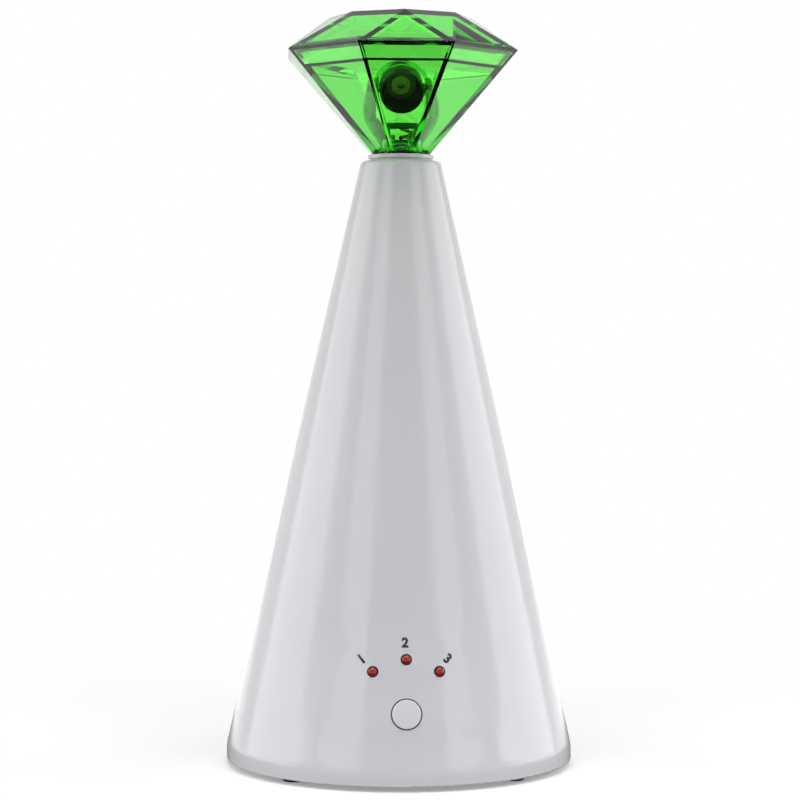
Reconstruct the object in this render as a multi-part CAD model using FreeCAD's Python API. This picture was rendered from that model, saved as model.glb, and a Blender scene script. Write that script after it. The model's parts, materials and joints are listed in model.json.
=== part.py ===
import FreeCAD, Part
import math
import os

# Automatic laser toy: a white cone on four feet with a turning clear green gem on top.
# All sizes are in millimetres. The origin lies on the floor under the cone's axis.
# +Z points up the axis and -Y is the front, where the button and the lamps are.

V = FreeCAD.Vector

# General fits
seat_gap = 0.02            # radial play of a pressed or glued seat
run_gap = 0.06             # radial play of a shaft that turns in its bush
thrust_gap = 0.05          # play between two flat faces that turn on each other
part_gap = 0.3             # air between moulded pieces that move past each other
screw_play = 0.1           # radial play of a screw in a clearance hole

# Cone casing
foot_stand = 1.5           # height of the rim above the floor
cone_foot_radius = 51.75   # where the straight side would meet the plane of the rim
rim_inset = 0.95           # the rim's upright band stands back by this from there
cone_top_radius = 11.7
cone_height = 175.65
rim_blend = 12.0
rim_edge_round = 0.5
top_edge_round = 1.5
casing_wall = 2.2
top_wall = 4.6
top_bore_radius = 8.0

# Bottom plate
plate_inset = 0.4
plate_thickness = 2.6
plate_gap = 0.25
plate_screw_inset = 10.8   # from the rim to the circle of the screws
plate_boss_radius = 3.3
plate_boss_length = 10.0
plate_boss_air = 1.0       # between a boss and the board or the bay beside it
plate_web_thickness = 1.6
plate_screw_radius = 1.3
plate_screw_length = 8.0
plate_head_radius = 2.6
plate_head_height = 1.5
plate_head_sink = 1.7

# Rubber feet
foot_radius = 3.0
foot_inset = 6.5           # from the rim to the circle of the feet
foot_recess = 0.6
foot_air = 0.92            # between the rear feet and the bay's back wall
foot_front_angle = -45.0
foot_edge = 0.4

# Cells and their bay
cell_radius = 7.25
cell_length = 49.5
cell_edge_round = 0.5
cell_nub_radius = 2.75
cell_nub_height = 1.0
cell_count = 3
cell_pitch = 15.0
bay_centre_y = 3.0
bay_wall = 1.6
bay_side_gap = 0.3
bay_ceiling_gap = 0.3
bay_rib_thickness = 1.0
bay_rib_drop = 3.0
ledge_width = 1.2
ledge_height = 1.2
ledge_start = 4.5          # from the hinge axis to the start of the ledges

# Cell contacts
contact_thickness = 0.4
contact_width = 9.0
contact_height = 11.0
contact_bump_radius = 2.5
contact_bump_height = 0.8
contact_leaf_reach = 3.5
contact_leaf_width = 6.0
contact_leaf_rise = 7.0

# Battery door
door_thickness = 2.2
door_pin_radius = 0.7
door_pin_reach = 1.3
door_tab_width = 9.0
door_tab_length = 8.0
door_slit = 0.8
door_groove_count = 3
door_groove_pitch = 1.6
door_groove_depth = 0.4

# Control panel, measured up the cone's side from the middle of the button
button_height = 19.65      # above the rim
lamp_side_x = 9.3
lamp_side_rise = 11.9
lamp_side_sink = 0.95
lamp_middle_rise = 15.15
lamp_radius = 1.5
lamp_stand_out = 0.8
lamp_body_height = 5.3
lamp_flange_radius = 1.9
lamp_flange_height = 1.0
lamp_leg_radius = 0.3
lamp_leg_spread = 1.27
lamp_hole_play = 0.1
button_radius = 4.05
button_hole_play = 0.35
button_stand_out = 0.6
button_dome = 0.3
button_edge_round = 0.4
button_flange_radius = 5.6
button_flange_height = 1.0
button_flange_depth = 2.9
button_travel = 0.6

# Control board, parallel to the front of the cone
board_depth = 10.0         # from the cone's outside to the board's front face
board_half_width = 16.0
board_low = -6.0
board_high = 21.0
board_thickness = 1.6
board_screw_x = 13.0
board_screw_low = -3.2
board_screw_high = 18.2
board_screw_radius = 1.0
board_screw_length = 6.0
board_head_radius = 1.9
board_head_height = 1.3
board_boss_radius = 2.2
switch_size = 6.0
switch_height = 3.4
plunger_radius = 1.7
plunger_rise = 1.6
plunger_sunk = 1.2
plunger_play = 0.05
chip_length = 8.6
chip_width = 3.9
chip_height = 1.5
chip_lift = 0.1
chip_rise = 10.0
chip_leg_count = 7
chip_leg_pitch = 1.27
chip_leg_width = 0.4
chip_leg_reach = 1.0
capacitor_radius = 2.5
capacitor_height = 5.0
capacitor_x = 10.5
capacitor_rise = 6.0

# Drive: a small gear motor under a plate, with one open pair of gears above it
drive_drop = 36.65         # underside of the drive plate below the cone's top
drive_plate_thickness = 2.4
drive_plate_radius = 15.5
drive_screw_circle = 13.6
drive_screw_angles = (50.0, 130.0, 270.0)
drive_boss_radius = 2.0
drive_boss_length = 19.0
drive_screw_radius = 0.9
drive_screw_length = 8.0
drive_head_radius = 1.7
drive_head_height = 1.1
gear_module = 0.5
driven_teeth = 30
pinion_teeth = 12
pressure_angle = 20.0
gear_backlash = 0.12
gear_tip_cut = 0.08
gear_root_room = 0.2
gear_face = 3.0
gear_lift = 0.9            # gears above the drive plate
driven_hub_radius = 3.6
driven_hub_height = 1.6
pinion_extra = 0.6         # the pinion stands this much taller than the driven gear
motor_shaft_radius = 1.5
motor_shaft_sunk = 6.0
gearbox_width = 12.0
gearbox_depth = 10.0
gearbox_height = 9.0
gearbox_collar_radius = 2.0
gearbox_collar_height = 0.8
gearbox_screw_x = 4.5
gearbox_screw_radius = 0.8
gearbox_screw_length = 4.0
gearbox_head_radius = 1.4
gearbox_head_height = 0.9
motor_length = 15.0
motor_cap_height = 1.5
motor_tab_width = 1.6
motor_tab_thickness = 0.5
motor_tab_length = 2.0
motor_tab_x = 3.0

# Spindle and its bushes
spindle_radius = 2.1
spindle_bore = 1.3
spindle_tail = 2.2         # below the drive plate
spindle_stand = 3.1        # above the gem's floor
lower_bush_radius = 3.4
lower_bush_flange = 4.4
lower_bush_flange_height = 0.6
clip_radius = 3.6
clip_thickness = 0.5
clip_groove = 0.25
clip_mouth = 2.4
top_bush_flange_radius = 9.0
top_bush_flange_height = 0.5
top_bush_seat_gap = 0.05

# Slip rings and brushes
carrier_radius = 3.5
carrier_rib_radius = 4.2
carrier_rib = 0.8
ring_radius = 4.0
ring_width = 2.2
ring_side_gap = 0.1
brush_gap = 0.1
brush_thickness = 0.3
brush_width = 1.6
brush_overhang = 1.5
brush_block_inner = 8.6
brush_block_outer = 12.2
brush_tail_inset = 0.2
brush_peg_radius = 1.1
wire_notch_half = 2.0

# Neck hub
hub_disc_radius = 9.7
hub_disc_thickness = 1.2
hub_edge_round = 0.3
hub_boss_radius = 7.0
hub_boss_drop = 5.2
hub_screw_seat = 0.5       # below the cone's top

# Gem head
floor_apothem = 8.2
girdle_apothem = 33.2
pavilion_rise = 29.6       # from the hub to the girdle
table_vertex_radius = 21.04
crown_rise = 10.6          # from the girdle to the flat top
gem_sides = 8
gem_wall = 3.2
gem_floor = 1.5
gem_lip_wall = 1.5         # outer part of the wall, beside the crown's skirt
gem_pocket_gap = 0.3       # round the yoke's posts, where they meet the gem's floor
gem_pocket_height = 2.4
skirt_depth = 3.9
skirt_gap = 0.15
skirt_foot_gap = 0.1       # between the skirt and the ledge below it
skirt_root = 0.8           # how far the skirt runs up into the crown

# Yoke that holds the laser barrel
pivot_rise = 20.6          # above the hub
yoke_neck_radius = 3.6
yoke_belly_radius = 10.9
yoke_belly_height = 10.6
yoke_belly_round = 10.0
yoke_top_radius = 8.9
yoke_top_rise = 2.6
yoke_floor_drop = 11.0
yoke_floor_thickness = 1.7
yoke_corner = 2.05
yoke_window_half = 3.5
yoke_window_height = 3.0
yoke_spindle_gap = 0.3
yoke_hoop_gap = 0.8        # air between the hoop and the barrel at rest
yoke_hoop_wall = 1.1
yoke_hoop_depth = 1.6
yoke_post_x = 3.45
yoke_post_y = 3.1
yoke_post_radius = 1.6
yoke_post_height = 4.9
yoke_screw_radius = 1.0
yoke_screw_length = 7.6
yoke_head_radius = 1.8
yoke_head_height = 1.2
yoke_head_play = 0.15

# Laser barrel, measured along its axis from the pivot towards the mouth
barrel_dip = 24.0          # degrees below level at rest
barrel_radius = 6.4
barrel_mouth = 4.7
barrel_mouth_radius = 6.0
barrel_cup_floor = -2.8
barrel_cup_radius = 4.4
barrel_step = -2.9
barrel_tail_radius = 4.3
barrel_tail_start = -5.0
barrel_tail = -12.6
barrel_edge_round = 0.2
barrel_side_gap = 0.35
trunnion_radius = 1.4
trunnion_reach = 8.3
trunnion_root = 5.8
barrel_lug_half_width = 2.35
barrel_lug_low = 5.75
barrel_lug_high = 7.2
barrel_lug_depth = 1.5
laser_radius = 3.0
laser_bore = 2.4
laser_front = -2.5
laser_back = -12.2
laser_front_wall = 0.8
laser_aperture = 1.1
lens_thickness = 0.7
lens_bulge = 0.4
lens_set_back = 0.45
diode_base_height = 1.0
diode_can_radius = 1.6
diode_can_height = 2.3
laser_board_radius = 4.0
laser_board_thickness = 1.0

# Leads
lead_radius = 0.5
lead_straight = 5.0        # straight run behind the board
battery_lead_x = 6.0
battery_lead_rise = -3.5
battery_lead_reach = 3.4   # inside the bay
battery_lead_turn = (3.0, 7.0, 9.0)
motor_lead_x = 4.0
motor_lead_rise = 17.5
motor_lead_drop = 14.0
brush_lead_x = 10.0
brush_lead_step = 3.0
brush_lead_rise = 14.0
brush_lead_drop = 17.0
brush_lead_inset = 1.4     # from the back end of the brush block
laser_lead_radius = 0.55
laser_lead_route = (       # from the yoke's floor: out below it at the back and up behind one arm
    (0.0, 0.0, -3.6), (0.0, 6.0, -3.1), (3.0, 9.2, -2.3), (7.2, 8.0, -0.5),
    (8.6, 9.2, 4.0), (7.0, 12.5, 10.0), (2.5, 16.0, 15.0),
)
fall_steps = 5             # runs in the long fall of a lead
bend_share = 0.45          # share of a straight run that its bend may take

# Screw drives
cross_width = 0.28         # share of the head's radius
cross_depth = 0.55         # share of the head's height
cross_length = 0.62        # share of the head's radius

# Sizes that follow from the ones above
cone_slope = (cone_foot_radius - cone_top_radius) / cone_height
cone_lean = math.degrees(math.atan(cone_slope))
rim_radius = cone_foot_radius - rim_inset
plate_screw_circle = rim_radius - plate_screw_inset
foot_circle = rim_radius - foot_inset
rim_z = foot_stand
cone_top_z = rim_z + cone_height
plate_low_z = rim_z + plate_inset
plate_top_z = plate_low_z + plate_thickness
plate_radius = rim_radius - casing_wall - plate_gap
bay_half_width = cell_count * cell_pitch / 2 + bay_side_gap
bay_half_length = (
    cell_length + cell_nub_height + contact_leaf_reach + contact_bump_height
) / 2 + contact_thickness + seat_gap
door_top_z = plate_low_z + door_thickness
cell_z = door_top_z + part_gap + cell_radius
bay_ceiling_z = cell_z + cell_radius + bay_ceiling_gap
door_round = door_thickness / 2
door_pin_x = -bay_half_length + part_gap + door_round
door_pin_z = plate_low_z + door_round
drive_low_z = cone_top_z - drive_drop
drive_top_z = drive_low_z + drive_plate_thickness
gear_low_z = drive_top_z + gear_lift
gear_top_z = gear_low_z + gear_face
carrier_low_z = gear_top_z + driven_hub_height
ring_pitch = ring_width + 2 * ring_side_gap + carrier_rib
carrier_height = 2 * ring_pitch + carrier_rib
gear_spread = gear_module * (driven_teeth + pinion_teeth) / 2
hub_under_z = cone_top_z + top_bush_flange_height + thrust_gap
hub_top_z = hub_under_z + hub_disc_thickness
hub_seat_z = cone_top_z - hub_screw_seat
gem_floor_z = hub_top_z + gem_floor
gem_reach = 1.5 * girdle_apothem
girdle_z = hub_top_z + pavilion_rise
table_z = girdle_z + crown_rise
pivot_z = hub_top_z + pivot_rise
yoke_floor_z = pivot_z - yoke_floor_drop
yoke_slot_half = barrel_radius + barrel_side_gap
spindle_top_z = gem_floor_z + spindle_stand
panel_z = rim_z + button_height
board_back = board_depth + board_thickness
plunger_top = board_depth - switch_height - plunger_rise


def side_radius(height):
    """Outside radius of the cone at a height above its rim."""
    return cone_foot_radius - cone_slope * height


def inner_side_radius(height):
    """Inside radius of the cone's wall at a height above its rim."""
    return side_radius(height) - casing_wall / math.cos(math.radians(cone_lean))


# Basic shapes

def rod(radius, low, high, x=0.0, y=0.0):
    return Part.makeCylinder(radius, high - low, V(x, y, low), V(0, 0, 1))


def ring(outer, inner, low, high):
    return rod(outer, low, high).cut(rod(inner, low - 1, high + 1))


def cross_rod(radius, start, end, y, z):
    """A rod along X."""
    return Part.makeCylinder(radius, end - start, V(start, y, z), V(1, 0, 0))


def block(x_low, x_high, y_low, y_high, z_low, z_high):
    size = V(x_high - x_low, y_high - y_low, z_high - z_low)
    return Part.makeBox(size.x, size.y, size.z, V(x_low, y_low, z_low))


def on_circle(radius, angle):
    turn = math.radians(angle)
    return radius * math.cos(turn), radius * math.sin(turn)


def fused(shapes):
    return shapes[0].multiFuse(shapes[1:]).removeSplitter()


def bend(before, corner, after, radius):
    """Start, middle and end of the arc that rounds one corner of a path."""
    back = (before - corner).normalize()
    ahead = (after - corner).normalize()
    half = back.getAngle(ahead) / 2
    reach = radius / math.tan(half)
    toward = (back + ahead).normalize()
    middle = corner + toward * (radius / math.sin(half) - radius)
    return corner + back * reach, middle, corner + ahead * reach


def outline(corners):
    """A closed wire in the XZ plane from (x, z) or (x, z, rounding) corners."""
    points = [V(corner[0], 0, corner[1]) for corner in corners]
    edges = []
    joints = []
    for index, corner in enumerate(corners):
        if len(corner) == 3:
            after = points[(index + 1) % len(points)]
            arc = bend(points[index - 1], points[index], after, corner[2])
            edges.append(Part.Arc(*arc).toShape())
            joints.append((arc[0], arc[2]))
        else:
            joints.append((points[index], points[index]))
    for index, joint in enumerate(joints):
        start = joint[1]
        end = joints[(index + 1) % len(joints)][0]
        edges.append(Part.makeLine(start, end))
    return Part.Wire(Part.__sortEdges__(edges))


def revolved(corners):
    return Part.Face(outline(corners)).revolve(V(0, 0, 0), V(0, 0, 1), 360)


def slab(corners, y_low, y_high):
    """An outline in the XZ plane, carried from y_low to y_high."""
    face = Part.Face(outline(corners))
    face.translate(V(0, y_low, 0))
    return face.extrude(V(0, y_high - y_low, 0))


def turned(shape, angle):
    return shape.rotated(V(0, 0, 0), V(0, 0, 1), angle)


def moved(shape, x, y, z):
    return shape.translated(V(x, y, z))


def screw(shank_radius, shank_length, head_radius, head_height):
    """A pan head screw that points up, with the seat of its head at the origin."""
    body = fused([rod(head_radius, -head_height, 0), rod(shank_radius, -seat_gap, shank_length)])
    half = head_radius * cross_width / 2
    arm = head_radius * cross_length
    deep = head_height * cross_depth - head_height
    slot = block(-arm, arm, -half, half, -head_height - 1, deep)
    return body.cut(slot).cut(turned(slot, 90))


def tube(route, radius):
    """A round lead along straight runs with one smooth bend at each inner point."""
    start = route[0]
    edges = []
    for index in range(1, len(route) - 1):
        before, corner, after = route[index - 1:index + 2]
        shorter = min((corner - before).Length, (after - corner).Length)
        half_turn = (corner - before).getAngle(after - corner) / 2
        arc = bend(before, corner, after, bend_share * shorter / math.tan(half_turn))
        edges.append(Part.makeLine(start, arc[0]))
        edges.append(Part.Arc(*arc).toShape())
        start = arc[2]
    edges.append(Part.makeLine(start, route[-1]))
    path = Part.Wire(edges)
    circle = Part.Circle(route[0], route[1] - route[0], radius).toShape()
    return path.makePipeShell([Part.Wire(circle)], True, False)


# Cone casing

def cone_blank():
    """The cone as a full solid, which also trims everything moulded inside it."""
    rim_corner_z = rim_z + (cone_foot_radius - rim_radius) / cone_slope
    return revolved([
        (0, rim_z),
        (rim_radius, rim_z, rim_edge_round),
        (rim_radius, rim_corner_z, rim_blend),
        (cone_top_radius, cone_top_z, top_edge_round),
        (0, cone_top_z),
    ])


def cone_cavity():
    inner_rim = rim_radius - casing_wall
    corner = (inner_side_radius(0) - inner_rim) / cone_slope
    return revolved([
        (0, rim_z - 1),
        (inner_rim, rim_z - 1),
        (inner_rim, rim_z + corner),
        (inner_side_radius(cone_height - top_wall), cone_top_z - top_wall),
        (0, cone_top_z - top_wall),
    ])


def panel_frame():
    """Panel axes: right, up the cone's side and outwards, from the middle of the button."""
    base = V(0, -side_radius(button_height), panel_z)
    return FreeCAD.Placement(base, FreeCAD.Rotation(V(1, 0, 0), 90 - cone_lean))


def panel(shape):
    placed = shape.copy()
    placed.Placement = panel_frame().multiply(placed.Placement)
    return placed


def panel_point(x, rise, out):
    return panel_frame().multVec(V(x, rise, out))


def board_screw_places():
    return [
        (x, rise)
        for x in (-board_screw_x, board_screw_x)
        for rise in (board_screw_low, board_screw_high)
    ]


def lamp_places():
    return {
        "led_left": (-lamp_side_x, lamp_side_rise, -lamp_side_sink),
        "led_middle": (0.0, lamp_middle_rise, 0.0),
        "led_right": (lamp_side_x, lamp_side_rise, -lamp_side_sink),
    }


def plate_screw_angles():
    """Two screws beside the control board and two behind the battery bay."""
    room = plate_boss_radius + plate_boss_air
    front = math.degrees(math.acos((board_half_width + room) / plate_screw_circle))
    bay_back = bay_centre_y + bay_half_width + bay_wall
    rear = math.degrees(math.asin((bay_back + room) / plate_screw_circle))
    return (-front, front - 180, rear, 180 - rear)


def plate_bosses():
    """Screw pillars for the bottom plate, each tied to the cone's wall by a web."""
    pieces = []
    top = plate_top_z + plate_boss_length
    half = plate_web_thickness / 2
    for angle in plate_screw_angles():
        x, y = on_circle(plate_screw_circle, angle)
        pieces.append(rod(plate_boss_radius, plate_top_z, top, x, y))
        web = block(plate_screw_circle, rim_radius, -half, half, plate_top_z, top)
        pieces.append(turned(web, angle))
    return pieces


def board_bosses():
    return [
        panel(rod(board_boss_radius, -board_depth, 0, x, rise))
        for x, rise in board_screw_places()
    ]


def drive_bosses():
    pieces = []
    for angle in drive_screw_angles:
        x, y = on_circle(drive_screw_circle, angle)
        pieces.append(rod(drive_boss_radius, drive_top_z, drive_top_z + drive_boss_length, x, y))
    return pieces


def casing_pilots():
    """Blind holes for the screws that bite into the casing."""
    holes = []
    plate_tip = plate_low_z + plate_head_sink + plate_screw_length
    for angle in plate_screw_angles():
        x, y = on_circle(plate_screw_circle, angle)
        holes.append(rod(plate_screw_radius + seat_gap, plate_top_z - 1, plate_tip + part_gap, x, y))
    board_tip = board_screw_length - board_back
    for x, rise in board_screw_places():
        hole = rod(board_screw_radius + seat_gap, -board_back, board_tip + part_gap, x, rise)
        holes.append(panel(hole))
    drive_tip = drive_low_z + drive_screw_length
    for angle in drive_screw_angles:
        x, y = on_circle(drive_screw_circle, angle)
        holes.append(rod(drive_screw_radius + seat_gap, drive_top_z - 1, drive_tip + part_gap, x, y))
    return holes


def front_holes():
    """Openings through the front of the cone for the button and the lamps."""
    reach = button_radius + button_hole_play
    holes = [panel(rod(reach, -board_depth / 2, board_depth))]
    for x, rise, _ in lamp_places().values():
        hole = rod(lamp_radius + lamp_hole_play, -board_depth / 2, board_depth, x, rise)
        holes.append(panel(hole))
    return holes


def cone_shell():
    blank = cone_blank()
    wall = blank.cut(cone_cavity())
    inside = fused(plate_bosses() + board_bosses() + drive_bosses()).common(blank)
    shell = wall.fuse(inside)
    shell = shell.cut(rod(top_bore_radius, cone_top_z - top_wall - 1, cone_top_z + 1))
    return shell.cut(casing_pilots() + front_holes()).removeSplitter()


# Bottom plate, feet and screws

def plate_disc():
    disc = rod(plate_radius, plate_low_z, plate_top_z)
    holes = []
    for angle in plate_screw_angles():
        x, y = on_circle(plate_screw_circle, angle)
        holes.append(rod(plate_screw_radius + screw_play, plate_low_z - 1, plate_top_z + 1, x, y))
        sink = plate_low_z + plate_head_sink
        holes.append(rod(plate_head_radius + part_gap, plate_low_z - 1, sink, x, y))
    for x, y in foot_places().values():
        recess = plate_low_z + foot_recess
        holes.append(rod(foot_radius + seat_gap, plate_low_z - 1, recess, x, y))
    return disc.cut(holes)


def bay_shell():
    """The box over the cells, open towards the floor, with ribs between the cells."""
    outer_x = bay_half_length + bay_wall
    outer_y = bay_half_width + bay_wall
    box = block(-outer_x, outer_x, -outer_y, outer_y, plate_low_z, bay_ceiling_z + bay_wall)
    room = block(
        -bay_half_length, bay_half_length, -bay_half_width, bay_half_width,
        plate_low_z - 1, bay_ceiling_z,
    )
    box = box.cut(room)
    pieces = [box]
    half = bay_rib_thickness / 2
    rib_end = bay_half_length - contact_leaf_reach - 2 * contact_thickness
    for index in range(1, cell_count):
        y = index * cell_pitch - cell_count * cell_pitch / 2
        low = bay_ceiling_z - bay_rib_drop
        pieces.append(block(-rib_end, rib_end, y - half, y + half, low, bay_ceiling_z + half))
    ledge_low = door_top_z + screw_play
    for side in (-1, 1):
        near = side * (bay_half_width - ledge_width)
        far = side * (bay_half_width + half)
        low, high = sorted((near, far))
        start = door_pin_x + ledge_start
        end = bay_half_length - contact_leaf_reach
        pieces.append(block(start, end, low, high, ledge_low, ledge_low + ledge_height))
    return fused(pieces)


def bottom_plate():
    bay = moved(bay_shell(), 0, bay_centre_y, 0)
    room = block(
        -bay_half_length, bay_half_length,
        bay_centre_y - bay_half_width, bay_centre_y + bay_half_width,
        plate_low_z - 1, door_top_z,
    )
    plate = plate_disc().cut(room.fuse(moved(room, 0, 0, plate_thickness)))
    plate = plate.fuse(bay)
    reach = bay_half_width - part_gap + door_pin_reach + part_gap
    socket = Part.makeCylinder(
        door_pin_radius + run_gap, 2 * reach, V(door_pin_x, bay_centre_y - reach, door_pin_z), V(0, 1, 0)
    )
    plate = plate.cut(socket)
    return plate.cut(bay_wire_holes()).removeSplitter()


def bay_wire_holes():
    """Holes in the front wall of the bay where the two battery leads pass."""
    start = bay_centre_y - bay_half_width + 1
    length = bay_wall + 2
    return [
        Part.makeCylinder(lead_radius + screw_play, length, V(x, start, battery_lead_z()), V(0, -1, 0))
        for x in battery_lead_starts()
    ]


def foot_places():
    bay_back = bay_centre_y + bay_half_width + bay_wall
    rear_angle = math.degrees(math.asin((bay_back + foot_radius + foot_air) / foot_circle))
    return {
        "foot_front_left": on_circle(foot_circle, -180 - foot_front_angle),
        "foot_front_right": on_circle(foot_circle, foot_front_angle),
        "foot_rear_left": on_circle(foot_circle, 180 - rear_angle),
        "foot_rear_right": on_circle(foot_circle, rear_angle),
    }


def foot(x, y):
    top = plate_low_z + foot_recess
    pad = revolved([
        (0, 0), (foot_radius - foot_edge, 0), (foot_radius, foot_edge), (foot_radius, top), (0, top)
    ])
    return moved(pad, x, y, 0)


def plate_screws():
    model = screw(plate_screw_radius, plate_screw_length, plate_head_radius, plate_head_height)
    pieces = []
    for angle in plate_screw_angles():
        x, y = on_circle(plate_screw_circle, angle)
        pieces.append(moved(model, x, y, plate_low_z + plate_head_sink))
    return Part.makeCompound(pieces)


# Battery door

def battery_door():
    """Lid of the battery bay, rounded at its hinged end around two stub pins."""
    half_y = bay_half_width - part_gap
    end = bay_half_length - part_gap
    lid = block(door_pin_x, end, -half_y, half_y, plate_low_z, door_top_z)
    barrel = Part.makeCylinder(door_round, 2 * half_y, V(door_pin_x, -half_y, door_pin_z), V(0, 1, 0))
    reach = half_y + door_pin_reach
    pins = Part.makeCylinder(door_pin_radius, 2 * reach, V(door_pin_x, -reach, door_pin_z), V(0, 1, 0))
    lid = fused([lid, barrel, pins])
    cuts = []
    for side in (-1, 1):
        y = side * (door_tab_width + door_slit) / 2
        low = y - door_slit / 2
        cuts.append(block(end - door_tab_length, end + 1, low, low + door_slit, 0, door_top_z + 1))
    for index in range(door_groove_count):
        x = end - door_groove_pitch * (index + 1)
        high = plate_low_z + door_groove_depth
        width = door_groove_pitch / 2
        cuts.append(block(x, x + width, -door_tab_width / 2 + 1, door_tab_width / 2 - 1, 0, high))
    return moved(lid.cut(cuts), 0, bay_centre_y, 0)


# Cells and contacts

def cell_row(index):
    return bay_centre_y + (index - (cell_count - 1) / 2) * cell_pitch


def cell_turns(index):
    """+1 where the cell's nub points to +X, -1 where it points to -X."""
    return 1 if index % 2 == 0 else -1


def cell(index):
    """One AA cell with its nub, laid along X between its two contacts."""
    body = revolved([
        (0, 0), (cell_radius, 0, cell_edge_round), (cell_radius, cell_length, cell_edge_round),
        (cell_nub_radius, cell_length), (cell_nub_radius, cell_length + cell_nub_height),
        (0, cell_length + cell_nub_height),
    ])
    side = cell_turns(index)
    start = bay_half_length - contact_thickness - contact_leaf_reach
    body.rotate(V(0, 0, 0), V(0, 1, 0), 90 * side)
    return moved(body, -side * start, cell_row(index), cell_z)


def contact_sheet(side, first_row, last_row):
    """Flat sheet that covers one or two cell ends at the -X or +X end of the bay."""
    inner = bay_half_length - seat_gap
    low, high = sorted((side * inner, side * (inner - contact_thickness)))
    return block(
        low, high, cell_row(first_row) - contact_width / 2, cell_row(last_row) + contact_width / 2,
        cell_z - contact_height / 2, cell_z + contact_height / 2,
    )


def contact_bump(side, row):
    start = side * (bay_half_length - seat_gap - contact_thickness / 2)
    reach = contact_bump_height + contact_thickness / 2
    return Part.makeCylinder(contact_bump_radius, reach, V(start, cell_row(row), cell_z), V(-side, 0, 0))


def contact_leaf(side, row):
    """Bent spring strip that presses on the flat end of a cell."""
    foot_x = bay_half_length - seat_gap - contact_thickness
    tip_x = foot_x - contact_leaf_reach + part_gap
    rise = contact_leaf_rise
    thick = contact_thickness
    corners = [
        (foot_x + thick / 2, -rise / 2), (foot_x, -rise / 2), (tip_x, 0), (foot_x - 2 * thick, rise / 2),
        (foot_x - thick, rise / 2), (tip_x + thick, 0), (foot_x + thick / 2, -rise / 2 + 2 * thick),
    ]
    strip = slab(corners, -contact_leaf_width / 2, contact_leaf_width / 2)
    if side < 0:
        strip = strip.mirror(V(0, 0, 0), V(1, 0, 0))
    return moved(strip, 0, cell_row(row), cell_z)


def contacts():
    """The four contacts that join the cells in one chain."""
    return {
        "contact_negative": fused([contact_sheet(-1, 0, 0), contact_leaf(-1, 0)]),
        "contact_bridge_left": fused([
            contact_sheet(-1, 1, 2), contact_bump(-1, 1), contact_leaf(-1, 2),
        ]),
        "contact_bridge_right": fused([
            contact_sheet(1, 0, 1), contact_bump(1, 0), contact_leaf(1, 1),
        ]),
        "contact_positive": fused([contact_sheet(1, 2, 2), contact_bump(1, 2)]),
    }


# Control board and what stands on it

def control_board():
    board = block(
        -board_half_width, board_half_width, board_low, board_high, -board_back, -board_depth
    )
    holes = [
        rod(board_screw_radius + screw_play, -board_back - 1, -board_depth + 1, x, rise)
        for x, rise in board_screw_places()
    ]
    return panel(board.cut(holes))


def board_screws():
    model = screw(board_screw_radius, board_screw_length, board_head_radius, board_head_height)
    return Part.makeCompound([
        panel(moved(model, x, rise, -board_back)) for x, rise in board_screw_places()
    ])


def lamp(x, rise, level):
    """A domed 3 mm lamp on two legs, with its tip just outside the casing."""
    tip = level + lamp_stand_out
    bottom = tip - lamp_body_height
    dome = Part.makeSphere(lamp_radius, V(x, rise, tip - lamp_radius))
    pieces = [
        rod(lamp_radius, bottom, tip - lamp_radius, x, rise),
        dome,
        rod(lamp_flange_radius, bottom, bottom + lamp_flange_height, x, rise),
    ]
    for side in (-1, 1):
        leg_x = x + side * lamp_leg_spread
        pieces.append(rod(lamp_leg_radius, -board_depth, bottom + lamp_leg_radius, leg_x, rise))
    return panel(fused(pieces))


def switch_body():
    half = switch_size / 2
    top = switch_height - board_depth
    body = block(-half, half, -half, half, -board_depth, top)
    depth = plunger_sunk + button_travel + part_gap
    return panel(body.cut(rod(plunger_radius + plunger_play, top - depth, top + 1)))


def switch_plunger():
    top = -plunger_top
    return panel(rod(plunger_radius, top - plunger_rise - plunger_sunk, top))


def button_cap():
    """Round cap with a flange behind the wall and a stem that meets the switch."""
    edge = button_stand_out
    flange_top = -button_flange_depth
    flange_low = flange_top - button_flange_height
    dome_radius = (button_radius ** 2 + button_dome ** 2) / (2 * button_dome)
    plug = revolved([
        (0, flange_low), (button_radius, flange_low),
        (button_radius, edge, button_edge_round), (0, edge),
    ])
    skull = Part.makeSphere(dome_radius, V(0, 0, edge + button_dome - dome_radius))
    dome = skull.common(rod(button_radius - button_edge_round, edge - button_edge_round, edge + 1))
    flange = rod(button_flange_radius, flange_low, flange_top)
    stem = rod(plunger_radius, -plunger_top, flange_low)
    return panel(fused([plug, dome, flange, stem]))


def control_chip():
    half = chip_length / 2
    wide = chip_width / 2
    low = -board_back - chip_height
    high = -board_back - chip_lift
    pieces = [block(-half, half, chip_rise - wide, chip_rise + wide, low, high)]
    reach = wide + chip_leg_reach
    for index in range(chip_leg_count):
        x = (index - (chip_leg_count - 1) / 2) * chip_leg_pitch
        leg_half = chip_leg_width / 2
        pieces.append(block(
            x - leg_half, x + leg_half, chip_rise - reach, chip_rise + reach,
            -board_back - chip_leg_width, -board_back,
        ))
    return panel(fused(pieces))


def capacitor():
    top = -board_back
    return panel(rod(capacitor_radius, top - capacitor_height, top, capacitor_x, capacitor_rise))


# Drive

def tooth_flank(teeth, radius, sign):
    """Point of an involute flank at a radius, for a tooth that points along +X."""
    pitch = gear_module * teeth / 2
    base = pitch * math.cos(math.radians(pressure_angle))
    spread = math.pi / (2 * teeth) - gear_backlash / (4 * pitch)

    def unwound(at):
        tilt = math.acos(min(1.0, base / at))
        return math.tan(tilt) - tilt

    angle = spread + unwound(pitch) - unwound(max(radius, base))
    return V(radius * math.cos(angle), sign * radius * math.sin(angle), 0)


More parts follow.
